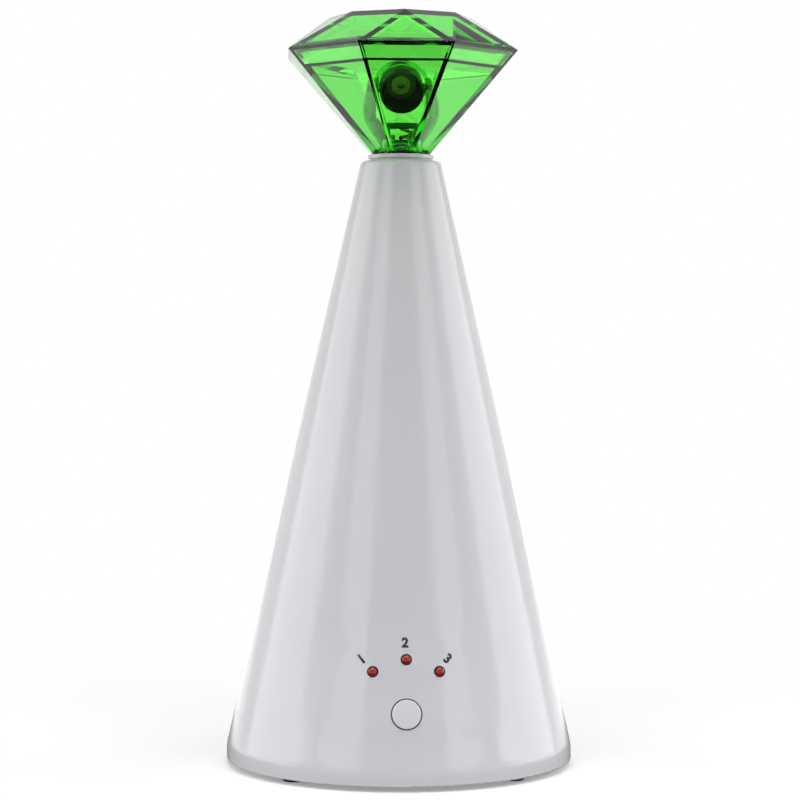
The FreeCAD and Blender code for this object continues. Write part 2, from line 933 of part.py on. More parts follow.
def gear(teeth, low, high):
    """A spur gear with involute teeth, one of which points along +X."""
    pitch = gear_module * teeth / 2
    tip = pitch + gear_module - gear_tip_cut
    root = pitch - gear_module - gear_root_room
    middle = (tip + root) / 2
    edges = []
    for index in range(teeth):
        angle = 360.0 * index / teeth
        tooth = []
        up = [tooth_flank(teeth, radius, -1) for radius in (root, middle, tip)]
        down = [tooth_flank(teeth, radius, 1) for radius in (tip, middle, root)]
        tooth.append(Part.Arc(*up).toShape())
        tooth.append(Part.Arc(up[2], V(tip, 0, 0), down[0]).toShape())
        tooth.append(Part.Arc(*down).toShape())
        half_step = math.pi / teeth
        valley = V(root * math.cos(half_step), root * math.sin(half_step), 0)
        turn = FreeCAD.Rotation(V(0, 0, 1), 360.0 / teeth)
        tooth.append(Part.Arc(down[2], valley, turn.multVec(up[0])).toShape())
        edges.extend(turned(edge, angle) for edge in tooth)
    face = Part.Face(Part.Wire(Part.__sortEdges__(edges)))
    face.translate(V(0, 0, low))
    return face.extrude(V(0, 0, high - low))


def driven_gear():
    wheel = turned(gear(driven_teeth, gear_low_z, gear_top_z), 90)
    wheel = wheel.fuse(rod(driven_hub_radius, gear_low_z, gear_top_z + driven_hub_height))
    return wheel.cut(rod(spindle_radius + seat_gap, gear_low_z - 1, carrier_low_z + 1))


def drive_pinion():
    low = gear_low_z
    high = gear_top_z + pinion_extra
    wheel = turned(gear(pinion_teeth, low, high), -90 + 180.0 / pinion_teeth)
    wheel = wheel.cut(rod(motor_shaft_radius + seat_gap, low - 1, high + 1))
    return moved(wheel, 0, gear_spread, 0)


def output_shaft():
    high = gear_top_z + pinion_extra
    return rod(motor_shaft_radius, drive_low_z - motor_shaft_sunk, high, 0, gear_spread)


def drive_plate():
    """Disc that carries the motor below, the lower bush and the brush block."""
    disc = rod(drive_plate_radius, drive_low_z, drive_top_z)
    low = drive_low_z - 1
    high = drive_top_z + 1
    cuts = [rod(lower_bush_radius + seat_gap, low, high)]
    cuts.append(rod(gearbox_collar_radius + screw_play, low, high, 0, gear_spread))
    for angle in drive_screw_angles:
        x, y = on_circle(drive_screw_circle, angle)
        cuts.append(rod(drive_screw_radius + screw_play, low, high, x, y))
    for side in (-1, 1):
        x = side * gearbox_screw_x
        cuts.append(rod(gearbox_screw_radius + screw_play, low, high, x, gear_spread))
        sink = drive_top_z - gearbox_head_height
        cuts.append(rod(gearbox_head_radius + screw_play, sink, high, x, gear_spread))
        cuts.append(rod(brush_peg_radius + seat_gap, low, high, brush_peg_x(), side * ring_radius / 2))
        near, far = sorted((side * wire_notch_y(), side * drive_plate_radius))
        notch_x = brush_solder_x()
        cuts.append(block(notch_x - wire_notch_half, notch_x + wire_notch_half, near, far, low, high))
    return disc.cut(cuts)


def drive_screws():
    model = screw(drive_screw_radius, drive_screw_length, drive_head_radius, drive_head_height)
    pieces = []
    for angle in drive_screw_angles:
        x, y = on_circle(drive_screw_circle, angle)
        pieces.append(moved(model, x, y, drive_low_z))
    return Part.makeCompound(pieces)


def gearbox_housing():
    half_x = gearbox_width / 2
    half_y = gearbox_depth / 2
    low = drive_low_z - gearbox_height
    box = block(-half_x, half_x, gear_spread - half_y, gear_spread + half_y, low, drive_low_z)
    collar_top = drive_low_z + gearbox_collar_height
    box = box.fuse(rod(gearbox_collar_radius, drive_low_z - 1, collar_top, 0, gear_spread))
    shaft_low = drive_low_z - motor_shaft_sunk - part_gap
    cuts = [rod(motor_shaft_radius + run_gap, shaft_low, collar_top + 1, 0, gear_spread)]
    tip = drive_top_z - gearbox_head_height - gearbox_screw_length
    for side in (-1, 1):
        x = side * gearbox_screw_x
        cuts.append(rod(gearbox_screw_radius + seat_gap, tip - part_gap, drive_low_z + 1, x, gear_spread))
    return box.cut(cuts)


def gearbox_screws():
    model = screw(gearbox_screw_radius, gearbox_screw_length, gearbox_head_radius, gearbox_head_height)
    model.rotate(V(0, 0, 0), V(1, 0, 0), 180)
    seat = drive_top_z - gearbox_head_height
    return Part.makeCompound([
        moved(model, side * gearbox_screw_x, gear_spread, seat) for side in (-1, 1)
    ])


def flatted_round(low, high):
    """Round motor section with two flats, as deep as the gearbox."""
    half_y = gearbox_depth / 2
    half_x = gearbox_width / 2
    section = rod(half_x, low, high).common(block(-half_x, half_x, -half_y, half_y, low, high))
    return moved(section, 0, gear_spread, 0)


def motor_can():
    high = drive_low_z - gearbox_height
    return flatted_round(high - motor_length, high)


def motor_end_cap():
    """End cap of the motor with its two solder tabs."""
    high = drive_low_z - gearbox_height - motor_length
    low = high - motor_cap_height
    pieces = [flatted_round(low, high)]
    half = motor_tab_width / 2
    for side in (-1, 1):
        near, far = sorted((side * motor_tab_x, side * (motor_tab_x + motor_tab_thickness)))
        pieces.append(block(near, far, gear_spread - half, gear_spread + half, low - motor_tab_length, high))
    return fused(pieces)


# Spindle, bushes and slip rings

def clip_groove_top():
    return drive_low_z - thrust_gap


def spindle():
    tube_body = ring(spindle_radius, spindle_bore, drive_low_z - spindle_tail, spindle_top_z)
    top = clip_groove_top()
    low = top - clip_thickness - 2 * seat_gap
    return tube_body.cut(ring(spindle_radius + 1, spindle_radius - clip_groove, low, top))


def retaining_clip():
    top = clip_groove_top() - seat_gap
    body = ring(clip_radius, spindle_radius - clip_groove + seat_gap, top - clip_thickness, top)
    half = clip_mouth / 2
    return body.cut(block(-half, half, -clip_radius - 1, -spindle_radius / 2, top - 2, top + 1))


def lower_bush():
    sleeve = rod(lower_bush_radius, drive_low_z, drive_top_z)
    flange = rod(lower_bush_flange, drive_top_z, drive_top_z + lower_bush_flange_height)
    return sleeve.fuse(flange).cut(rod(spindle_radius + run_gap, drive_low_z - 1, drive_top_z + 2))


def top_bush():
    high = cone_top_z + top_bush_flange_height
    sleeve = rod(top_bore_radius - top_bush_seat_gap, cone_top_z - top_wall, cone_top_z)
    flange = rod(top_bush_flange_radius, cone_top_z, high)
    return sleeve.fuse(flange).cut(rod(hub_boss_radius + run_gap, cone_top_z - top_wall - 1, high + 1))


def ring_low(index):
    return carrier_low_z + carrier_rib + ring_side_gap + index * ring_pitch


def ring_carrier():
    """Insulating sleeve on the spindle with three ribs that keep the rings apart."""
    high = carrier_low_z + carrier_height
    pieces = [rod(carrier_radius, carrier_low_z, high)]
    for index in range(3):
        low = carrier_low_z + index * ring_pitch
        pieces.append(rod(carrier_rib_radius, low, low + carrier_rib))
    return fused(pieces).cut(rod(spindle_radius + seat_gap, carrier_low_z - 1, high + 1))


def slip_ring(index):
    low = ring_low(index)
    return ring(ring_radius, carrier_radius + seat_gap, low, low + ring_width)


def brush_face():
    """Distance from the middle to the brush's inner face."""
    return ring_radius + brush_gap


def brush_peg_x():
    return -(brush_block_inner + brush_block_outer) / 2


def brush_block():
    top = carrier_low_z + carrier_height
    face = brush_face()
    body = block(-brush_block_outer, -brush_block_inner, -face, face, drive_top_z, top)
    pegs = [
        rod(brush_peg_radius, drive_low_z, drive_top_z + 1, brush_peg_x(), side * ring_radius / 2)
        for side in (-1, 1)
    ]
    return fused([body] + pegs)


def brush(index):
    """Flat spring strip on one side of the block, reaching past its slip ring."""
    side = -1 if index == 0 else 1
    near, far = sorted((side * brush_face(), side * (brush_face() + brush_thickness)))
    low = ring_low(index) + (ring_width - brush_width) / 2
    start = -brush_block_outer + brush_tail_inset
    return block(start, brush_overhang, near, far, low, low + brush_width)


# Neck hub and gem

def yoke_screw_places():
    return [(x, y) for x in (-yoke_post_x, yoke_post_x) for y in (-yoke_post_y, yoke_post_y)]


def neck_hub():
    low = cone_top_z - hub_boss_drop
    body = revolved([
        (0, low), (hub_boss_radius, low), (hub_boss_radius, hub_under_z),
        (hub_disc_radius, hub_under_z), (hub_disc_radius, hub_top_z, hub_edge_round), (0, hub_top_z),
    ])
    cuts = [rod(spindle_radius + seat_gap, low - 1, hub_top_z + 1)]
    for x, y in yoke_screw_places():
        cuts.append(rod(yoke_screw_radius + screw_play, low - 1, hub_top_z + 1, x, y))
        cuts.append(rod(yoke_head_radius + yoke_head_play, low - 1, hub_seat_z, x, y))
    return body.cut(cuts)


def facet_cutter(azimuth, low_radius, low_z, high_radius, high_z, inset):
    """Block outside a flat facet that runs from a low to a high line at one azimuth."""
    length = math.hypot(high_radius - low_radius, high_z - low_z)
    out = (high_z - low_z) / length
    up = (low_radius - high_radius) / length
    x, y = on_circle(1, azimuth)
    normal = V(out * x, out * y, up)
    point = V(low_radius * x, low_radius * y, low_z) - normal * inset
    size = 4 * gem_reach
    outside = Part.makeBox(size, size, size, V(0, -size / 2, -size / 2))
    outside.Placement = FreeCAD.Placement(point, FreeCAD.Rotation(V(1, 0, 0), normal))
    return outside


def pavilion_facets(inset):
    step = 360.0 / gem_sides
    return [
        facet_cutter(index * step, floor_apothem, hub_top_z, girdle_apothem, girdle_z, inset)
        for index in range(gem_sides)
    ]


def crown_facets(inset):
    """Facets on the girdle's edges, and between them facets on the table's edges."""
    step = 360.0 / gem_sides
    half = math.cos(math.radians(step / 2))
    cutters = []
    for index in range(gem_sides):
        edge = index * step
        cutters.append(facet_cutter(
            edge, girdle_apothem, girdle_z, table_vertex_radius, table_z, inset
        ))
        cutters.append(facet_cutter(
            edge + step / 2, girdle_apothem / half, girdle_z, table_vertex_radius * half, table_z, inset
        ))
    return cutters


def cut_gem(low, high, cutters):
    gem = rod(gem_reach, low, high)
    for cutter in cutters:
        gem = gem.cut(cutter)
    return gem


def pavilion_shell():
    """Clear lower half of the gem, a cup with eight flat sides and a stepped rim."""
    outer = cut_gem(hub_top_z, girdle_z, pavilion_facets(0))
    inner = cut_gem(gem_floor_z, girdle_z + 1, pavilion_facets(gem_wall))
    step = cut_gem(girdle_z - skirt_depth, girdle_z + 1, pavilion_facets(gem_lip_wall))
    pocket_radius = math.hypot(yoke_post_x, yoke_post_y) + yoke_post_radius + gem_pocket_gap
    pocket = rod(pocket_radius, gem_floor_z, gem_floor_z + gem_pocket_height)
    cuts = [inner, step, pocket, rod(spindle_radius + screw_play, hub_top_z - 1, gem_floor_z + 1)]
    for x, y in yoke_screw_places():
        cuts.append(rod(yoke_screw_radius + screw_play, hub_top_z - 1, gem_floor_z + 1, x, y))
    return outer.cut(cuts)


def crown_shell():
    """Clear upper half of the gem, with a skirt that drops into the lower half."""
    outer = cut_gem(girdle_z, table_z, crown_facets(0))
    room = cut_gem(girdle_z - 1, table_z - gem_wall, crown_facets(gem_wall))
    low = girdle_z - skirt_depth + skirt_foot_gap
    high = girdle_z + skirt_root
    skirt = cut_gem(low, high, pavilion_facets(gem_lip_wall + skirt_gap))
    core = cut_gem(low - 1, high + 1, pavilion_facets(gem_wall))
    return outer.cut(room).fuse(skirt.cut(core)).removeSplitter()


# Yoke

def yoke_body():
    """Tulip shaped body, cut through from front to back for the barrel."""
    tulip = revolved([
        (0, gem_floor_z), (yoke_neck_radius, gem_floor_z),
        (yoke_belly_radius, gem_floor_z + yoke_belly_height, yoke_belly_round),
        (yoke_top_radius, pivot_z + yoke_top_rise), (0, pivot_z + yoke_top_rise),
    ])
    wide = yoke_slot_half
    narrow = yoke_slot_half - yoke_corner
    top = pivot_z + yoke_top_rise + 1
    slot = slab([
        (-wide, top), (-wide, yoke_floor_z + yoke_corner), (-narrow, yoke_floor_z),
        (narrow, yoke_floor_z), (wide, yoke_floor_z + yoke_corner), (wide, top),
    ], -gem_reach, gem_reach)
    window_top = yoke_floor_z - yoke_floor_thickness
    window = block(
        -yoke_window_half, yoke_window_half, -gem_reach, gem_reach,
        window_top - yoke_window_height, window_top,
    )
    return tulip.cut([slot, window])


def yoke_hoop():
    """Half ring over the barrel, square to its axis at rest, that ties the arms together."""
    inner = barrel_radius + yoke_hoop_gap
    outer = inner + yoke_hoop_wall
    half = yoke_hoop_depth / 2
    hoop = ring(outer, inner, -half, half)
    return tipped(hoop.common(block(-outer, outer, 0, outer, -half, half)))


def laser_yoke():
    pieces = [yoke_body(), yoke_hoop()]
    for x, y in yoke_screw_places():
        pieces.append(rod(yoke_post_radius, gem_floor_z, gem_floor_z + yoke_post_height, x, y))
    cuts = [
        rod(spindle_radius + yoke_spindle_gap, gem_floor_z - 1, spindle_top_z + 1),
        cross_rod(trunnion_radius + run_gap, -gem_reach, gem_reach, 0, pivot_z),
    ]
    tip = hub_seat_z + yoke_screw_length + part_gap
    for x, y in yoke_screw_places():
        cuts.append(rod(yoke_screw_radius + seat_gap, gem_floor_z - 1, tip, x, y))
    return fused(pieces).cut(cuts)


def yoke_screws():
    model = screw(yoke_screw_radius, yoke_screw_length, yoke_head_radius, yoke_head_height)
    return Part.makeCompound([moved(model, x, y, hub_seat_z) for x, y in yoke_screw_places()])


# Laser barrel, drawn upright with its mouth up and then tipped to its rest angle

def barrel_frame():
    return FreeCAD.Placement(V(0, 0, pivot_z), FreeCAD.Rotation(V(1, 0, 0), 90 + barrel_dip))


def tipped(shape):
    placed = shape.copy()
    placed.Placement = barrel_frame().multiply(placed.Placement)
    return placed


def barrel_point(x, up, along):
    return barrel_frame().multVec(V(x, up, along))


def barrel_housing():
    bore = laser_radius + seat_gap
    body = revolved([
        (barrel_mouth_radius, barrel_mouth), (barrel_radius, barrel_mouth, barrel_edge_round),
        (barrel_radius, barrel_step), (barrel_tail_radius, barrel_tail_start),
        (barrel_tail_radius, barrel_tail), (bore, barrel_tail),
        (bore, barrel_cup_floor), (barrel_cup_radius, barrel_cup_floor),
    ])
    lug = block(
        -barrel_lug_half_width, barrel_lug_half_width, barrel_lug_low, barrel_lug_high,
        barrel_mouth - barrel_lug_depth, barrel_mouth,
    )
    stubs = [
        cross_rod(trunnion_radius, -trunnion_reach, -trunnion_root, 0, 0),
        cross_rod(trunnion_radius, trunnion_root, trunnion_reach, 0, 0),
    ]
    return tipped(fused([body, lug] + stubs))


def laser_tube():
    return tipped(revolved([
        (laser_aperture, laser_front), (laser_radius, laser_front, barrel_edge_round),
        (laser_radius, laser_back), (laser_bore, laser_back),
        (laser_bore, laser_front - laser_front_wall), (laser_aperture, laser_front - laser_front_wall),
    ]))


def laser_lens():
    """Small lens with one bulged face, just behind the opening of the tube."""
    radius = laser_bore - seat_gap
    high = laser_front - laser_front_wall - lens_set_back
    ball = (radius ** 2 + lens_bulge ** 2) / (2 * lens_bulge)
    cap = Part.makeSphere(ball, V(0, 0, high + lens_bulge - ball))
    cap = cap.common(rod(radius, high - lens_thickness, high + lens_bulge + 1))
    return tipped(cap)


def laser_diode():
    base_top = laser_back + diode_base_height
    base = rod(laser_bore - seat_gap, laser_back, base_top)
    return tipped(base.fuse(rod(diode_can_radius, base_top, base_top + diode_can_height)))


def laser_board():
    return tipped(rod(laser_board_radius, barrel_tail - laser_board_thickness, barrel_tail))


# Leads

def battery_lead_starts():
    """The battery leads pass the bay's front wall near the two end contacts."""
    reach = bay_half_length - contact_leaf_reach
    return (-reach, reach)


def battery_lead_z():
    return cell_z + cell_radius - lead_radius


def brush_solder_x():
    return brush_lead_inset - brush_block_outer


def wire_notch_y():
    return brush_face() + brush_thickness + 2 * lead_radius


def pad(x, rise):
    """A point straight behind the board, and the one where the lead meets it."""
    return panel_point(x, rise, -board_back - lead_straight), panel_point(x, rise, -board_back)


def fall(high, low):
    """Inner points of a lead's smooth fall from one point to another."""
    points = []
    for step in range(1, fall_steps):
        share = step / fall_steps
        across = share * share * (3 - 2 * share)
        x = high.x + (low.x - high.x) * across
        y = high.y + (low.y - high.y) * across
        points.append(V(x, y, high.z + (low.z - high.z) * share))
    return points


def battery_leads():
    """From the end contacts, along the bay's ceiling and out to the board."""
    leads = []
    z = battery_lead_z()
    front = bay_centre_y - bay_half_width - bay_wall
    out, turn, middle = battery_lead_turn
    for side, x in zip((-1, 1), battery_lead_starts()):
        before, end = pad(side * battery_lead_x, battery_lead_rise)
        leads.append(tube([
            V(x, front + battery_lead_reach, z), V(x, front - out, z),
            V(x + (before.x - x) / 4, front - turn, z - lead_radius),
            V(x + (before.x - x) / 2, front - middle, z - 2 * lead_radius), before, end,
        ], lead_radius))
    return Part.makeCompound(leads)


def motor_leads():
    """From the motor's tabs down the inside of the cone to the board."""
    leads = []
    low = drive_low_z - gearbox_height - motor_length - motor_cap_height - motor_tab_length
    for side in (-1, 1):
        x = side * (motor_tab_x + motor_tab_thickness / 2)
        before, end = pad(side * motor_lead_x, motor_lead_rise)
        bottom = V(x, gear_spread, low - motor_lead_drop)
        route = [V(x, gear_spread, low), bottom] + fall(bottom, before) + [before, end]
        leads.append(tube(route, lead_radius))
    return Part.makeCompound(leads)


def brush_leads():
    """From the tails of the two brushes, past the drive plate and down to the board."""
    leads = []
    x = brush_solder_x()
    for index, side in enumerate((-1, 1)):
        face = side * (brush_face() + brush_thickness)
        notch = face + side * brush_lead_step
        z = ring_low(index) + ring_width / 2
        before, end = pad(-brush_lead_x - brush_lead_step * index, brush_lead_rise)
        bottom = V(x, notch, z - brush_lead_drop)
        route = [V(x, face, z), V(x, notch, z), bottom] + fall(bottom, before) + [before, end]
        leads.append(tube(route, lead_radius))
    return Part.makeCompound(leads)


def laser_leads():
    """A two-core lead up the spindle's bore, round the back of the yoke and to the barrel."""
    tail = barrel_tail - laser_board_thickness - part_gap
    route = [V(0, 0, ring_low(0))]
    route += [V(x, y, yoke_floor_z + rise) for x, y, rise in laser_lead_route]
    route += [barrel_point(0, 0, tail - lead_straight), barrel_point(0, 0, tail)]
    return tube(route, laser_lead_radius)


def all_pieces():
    pieces = {
        "cone_shell": cone_shell(),
        "bottom_plate": bottom_plate(),
        "plate_screws": plate_screws(),
        "battery_door": battery_door(),
        "control_board": control_board(),
        "board_screws": board_screws(),
        "control_chip": control_chip(),
        "filter_capacitor": capacitor(),
        "switch_body": switch_body(),
        "switch_plunger": switch_plunger(),
        "button_cap": button_cap(),
        "drive_plate": drive_plate(),
        "drive_screws": drive_screws(),
        "gearbox_housing": gearbox_housing(),
        "gearbox_screws": gearbox_screws(),
        "motor_can": motor_can(),
        "motor_end_cap": motor_end_cap(),
        "output_shaft": output_shaft(),
        "drive_pinion": drive_pinion(),
        "driven_gear": driven_gear(),
        "spindle": spindle(),
        "retaining_clip": retaining_clip(),
        "lower_bush": lower_bush(),
        "top_bush": top_bush(),
        "ring_carrier": ring_carrier(),
        "slip_ring_lower": slip_ring(0),
        "slip_ring_upper": slip_ring(1),
        "brush_block": brush_block(),
        "brush_lower": brush(0),
        "brush_upper": brush(1),
        "neck_hub": neck_hub(),
        "pavilion_shell": pavilion_shell(),
        "crown_shell": crown_shell(),
        "laser_yoke": laser_yoke(),
        "yoke_screws": yoke_screws(),
        "barrel_housing": barrel_housing(),
        "laser_tube": laser_tube(),
        "laser_lens": laser_lens(),
        "laser_diode": laser_diode(),
        "laser_board": laser_board(),
        "battery_leads": battery_leads(),
        "motor_leads": motor_leads(),
        "brush_leads": brush_leads(),
        "laser_leads": laser_leads(),
    }
    for name, place in foot_places().items():
        pieces[name] = foot(*place)
    for name, place in lamp_places().items():
        pieces[name] = lamp(*place)
    for index in range(cell_count):
        pieces[f"cell_{index + 1}"] = cell(index)
    pieces.update(contacts())
    return pieces


os.makedirs("parts", exist_ok=True)
for name, shape in all_pieces().items():
    shape.exportStep(f"parts/{name}.step")
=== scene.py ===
import json
import math

import bpy
from mathutils import Matrix, Vector


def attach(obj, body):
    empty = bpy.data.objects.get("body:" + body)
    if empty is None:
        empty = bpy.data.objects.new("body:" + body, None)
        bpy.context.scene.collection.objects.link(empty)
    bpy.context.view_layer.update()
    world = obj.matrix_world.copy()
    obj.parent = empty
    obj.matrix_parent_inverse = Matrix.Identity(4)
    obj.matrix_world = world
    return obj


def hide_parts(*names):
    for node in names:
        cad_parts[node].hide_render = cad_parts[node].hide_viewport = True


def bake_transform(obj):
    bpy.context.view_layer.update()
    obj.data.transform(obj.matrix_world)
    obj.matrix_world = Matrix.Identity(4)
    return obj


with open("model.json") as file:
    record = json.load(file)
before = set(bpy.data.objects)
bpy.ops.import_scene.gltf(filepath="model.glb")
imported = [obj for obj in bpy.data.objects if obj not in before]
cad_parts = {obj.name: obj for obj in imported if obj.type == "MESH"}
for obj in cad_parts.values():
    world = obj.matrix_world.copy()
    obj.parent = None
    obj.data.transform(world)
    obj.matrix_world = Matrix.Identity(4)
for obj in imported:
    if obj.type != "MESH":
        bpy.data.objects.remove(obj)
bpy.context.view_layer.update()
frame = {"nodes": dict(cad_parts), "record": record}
nodes = frame["nodes"]
MM = 0.001
WHITE = (1.0, 1.0, 1.0, 1.0)

# The cone's side, repeated from the CAD source, in metres
FOOT_STAND = 1.5 * MM
CONE_FOOT_RADIUS = 51.75 * MM
CONE_TOP_RADIUS = 11.7 * MM
CONE_HEIGHT = 175.65 * MM
CONE_SLOPE = (CONE_FOOT_RADIUS - CONE_TOP_RADIUS) / CONE_HEIGHT
CONE_LEAN = math.atan(CONE_SLOPE)

# The panel on the cone's front: the button's centre, and the ways out of it and up it
BUTTON_HEIGHT = 19.65 * MM
CONE_RADIUS_AT_BUTTON = CONE_FOOT_RADIUS - CONE_SLOPE * BUTTON_HEIGHT
PANEL_ORIGIN = Vector((0.0, -CONE_RADIUS_AT_BUTTON, FOOT_STAND + BUTTON_HEIGHT))
PANEL_OUT = Vector((0.0, -math.cos(CONE_LEAN), math.sin(CONE_LEAN)))
PANEL_UP = Vector((0.0, math.sin(CONE_LEAN), math.cos(CONE_LEAN)))

# The red lamps' centres on the panel, in mm across and up from the button
LAMPS = {"led_left": (-9.3, 11.9), "led_middle": (0.0, 15.15), "led_right": (9.3, 11.9)}
LAMP_RADIUS = 1.5 * MM

# The cells' colour bands are laid out over this length to each side of the middle
CELL_HALF_LENGTH = 26.0 * MM

PLASTIC_IOR = 1.5
SLEEVE_IOR = 1.48
GLASS_IOR = 1.52

# Rounds on the gem's edges, in metres and degrees
GEM_ROUND = 0.09 * MM
ROUND_SEGMENTS = 2
ROUND_ANGLE = 18.0
WELD_REACH = 0.001 * MM

# The printed numerals: name, text, arc across in mm, height over the rim in mm, turn in degrees
MARKS = (
    ("mark_left", "1", -12.5, 34.3, 40.0),
    ("mark_middle", "2", -0.3, 38.9, -3.0),
    ("mark_right", "3", 11.7, 34.4, -40.0),
)
MARK_SIZE = 3.7 * MM
# How far the strokes grow, as a share of the size
MARK_WEIGHT = 0.045
MARK_SMOOTHNESS = 8
FILM_PROUD = 0.05 * MM
FILM_THICKNESS = 0.03 * MM

# The photograph's camera, fitted to the outlines: metres and degrees, lens and sensor in mm
CAMERA_AZIMUTH = -2.6
CAMERA_DISTANCE = 0.7069
CAMERA_HEIGHT = 0.1248
CAMERA_PITCH = 1.45
CAMERA_ROLL = 0.2
CAMERA_LENS = 107.8
CAMERA_SENSOR = 36.0

# The world: its light on the object, and how bright its front half is in reflections.
# The dim front passes into the bright rest between these two Y parts of a direction.
WORLD_AMBIENT = 0.12
WORLD_FRONT = 0.2
FRONT_DIM_TO = -0.62
FRONT_BRIGHT_FROM = -0.15

# The floor is a ring. With the distance from the middle, in metres, its colour goes from near
# to far, plain white light takes over across the fade, and in reflections it goes from a painted
# shadow near the object to a bright glow.
FLOOR_SIDES = 64
FLOOR_OPENING = 38.0 * MM
FLOOR_REACH = 4.0
FLOOR_NEAR = (0.30, (0.89, 0.89, 0.89))
FLOOR_FAR = (0.42, (0.42, 0.42, 0.42))
FLOOR_GLOW = 0.24
FLOOR_FADE = (0.12, 0.28)
FLOOR_MIRRORED_SHADOW_AND_GLOW = (0.05, 1.6)
FLOOR_MIRRORED_SHADOW_FADE = (0.11, 0.20)

# The softboxes: name, azimuth in degrees, distance, height, width and tall side in metres,
# and radiance. All face one point on the object's axis.
SOFTBOXES = (
    ("softbox_left", -39.0, 1.0, 0.42, 0.42, 0.80, 1.5),
    ("softbox_right", 39.0, 1.0, 0.42, 0.42, 0.80, 1.5),
    ("side_left", -98.0, 1.0, 0.25, 0.9, 1.1, 1.7),
    ("side_right", 98.0, 1.0, 0.25, 0.9, 1.1, 1.9),
    ("overhead", 0.0, 0.27, 1.2, 1.0, 1.0, 2.9),
    ("under", 0.0, 0.05, -0.8, 1.0, 1.0, 2.2),
)
SOFTBOX_TARGET = Vector((0.0, 0.0, 0.10))

# Light passes several walls of the clear gem
LIGHT_BOUNCES = 20


def place_object(name, data):
    """A new object in the scene's own collection."""
    made = bpy.data.objects.new(name, data)
    bpy.context.scene.collection.objects.link(made)
    return made


def cover(mesh, material):
    """Gives a mesh one material and no other."""
    mesh.materials.clear()
    mesh.materials.append(material)


def around(azimuth, distance, height):
    """A point around the object, from an azimuth in radians: 0 is in front, positive right."""
    return (math.sin(azimuth) * distance, -math.cos(azimuth) * distance, height)


def make_camera():
    """The camera at the photograph's place."""
    azimuth = math.radians(CAMERA_AZIMUTH)
    data = bpy.data.cameras.new("camera")
    data.lens = CAMERA_LENS
    data.sensor_width = CAMERA_SENSOR
    data.clip_start = 0.01
    data.clip_end = 50.0
    camera = place_object("camera", data)
    camera.location = around(azimuth, CAMERA_DISTANCE, CAMERA_HEIGHT)
    pitch = Matrix.Rotation(math.radians(90 - CAMERA_PITCH), 3, "X")
    turn = Matrix.Rotation(azimuth, 3, "Z") @ pitch
    roll = Matrix.Rotation(math.radians(CAMERA_ROLL), 3, "Z")
    camera.rotation_euler = (turn @ roll).to_euler()
    bpy.context.scene.camera = camera


# Materials

class Finish:
    """A node material under construction, with short calls for the usual nodes."""

    def __init__(self, name):
        self.material = bpy.data.materials.new(name)
        self.material.use_nodes = True
        self.tree = self.material.node_tree
        self.tree.nodes.clear()
        self.out = self.node("ShaderNodeOutputMaterial")
        self.shader = self.node("ShaderNodeBsdfPrincipled")
        self.link(self.shader.outputs[0], self.out.inputs["Surface"])
        self.place = self.node("ShaderNodeTexCoord").outputs["Object"]

    def node(self, kind, **values):
        made = self.tree.nodes.new(kind)
        for name, value in values.items():
            setattr(made, name, value)
        return made

    def link(self, start, end):
        self.tree.links.new(start, end)

    def set(self, **values):
        """Plain numbers on the shader's sockets."""
        for name, value in values.items():
            self.shader.inputs[name.replace("_", " ")].default_value = value

    def noise(self, scale, detail=3.0, rough=0.5, stretch=None):
        """Noise by the place on the object, with waves per metre, octaves and their weight."""
        made = self.node("ShaderNodeTexNoise")
        made.inputs["Scale"].default_value = scale
        made.inputs["Detail"].default_value = detail
        made.inputs["Roughness"].default_value = rough
        place = self.place
        if stretch is not None:
            mapping = self.node("ShaderNodeMapping")
            mapping.inputs["Scale"].default_value = stretch
            self.link(place, mapping.inputs["Vector"])
            place = mapping.outputs[0]
        self.link(place, made.inputs["Vector"])
        return made.outputs["Fac"]

    def ramp(self, value, *stops):
        """Colours over a value, from stops of a value and a colour."""
        made = self.node("ShaderNodeValToRGB")
        band = made.color_ramp
        while len(band.elements) < len(stops):
            band.elements.new(0.5)
        for element, (at, colour) in zip(band.elements, stops):
            element.position = at
            element.color = (*colour, 1.0)
        self.link(value, made.inputs["Fac"])
        return made.outputs["Color"]

    def spread(self, value, low, high, start=0.3, end=0.7):
        """Maps start to low and end to high, and holds both beyond."""
        made = self.node("ShaderNodeMapRange")
        made.inputs["From Min"].default_value = start
        made.inputs["From Max"].default_value = end
        made.inputs["To Min"].default_value = low
        made.inputs["To Max"].default_value = high
        self.link(value, made.inputs["Value"])
        return made.outputs["Result"]

    def bump(self, height, strength, distance, before=None):
        """Bump on the shader, over an earlier bump if one is given."""
        made = self.node("ShaderNodeBump")
        made.inputs["Strength"].default_value = strength
        made.inputs["Distance"].default_value = distance
        self.link(height, made.inputs["Height"])
        if before is not None:
            self.link(before, made.inputs["Normal"])
        self.link(made.outputs["Normal"], self.shader.inputs["Normal"])
        return made.outputs["Normal"]

    def colour(self, socket):
        self.link(socket, self.shader.inputs["Base Color"])

    def roughness(self, socket):
        self.link(socket, self.shader.inputs["Roughness"])

    def absorb(self, colour, density):
        """Tint by the depth of material that light passes."""
        volume = self.node("ShaderNodeVolumeAbsorption")
        volume.inputs["Color"].default_value = (*colour, 1.0)
        volume.inputs["Density"].default_value = density
        self.link(volume.outputs[0], self.out.inputs["Volume"])

    def emission(self, strength=None):
        """White light, of the strength that a socket gives, or else 1."""
        made = self.node("ShaderNodeEmission")
        made.inputs["Color"].default_value = WHITE
        if strength is not None:
            self.link(strength, made.inputs["Strength"])
        return made.outputs[0]


def shade(colour, factor):
    return tuple(min(1.0, part * factor) for part in colour)


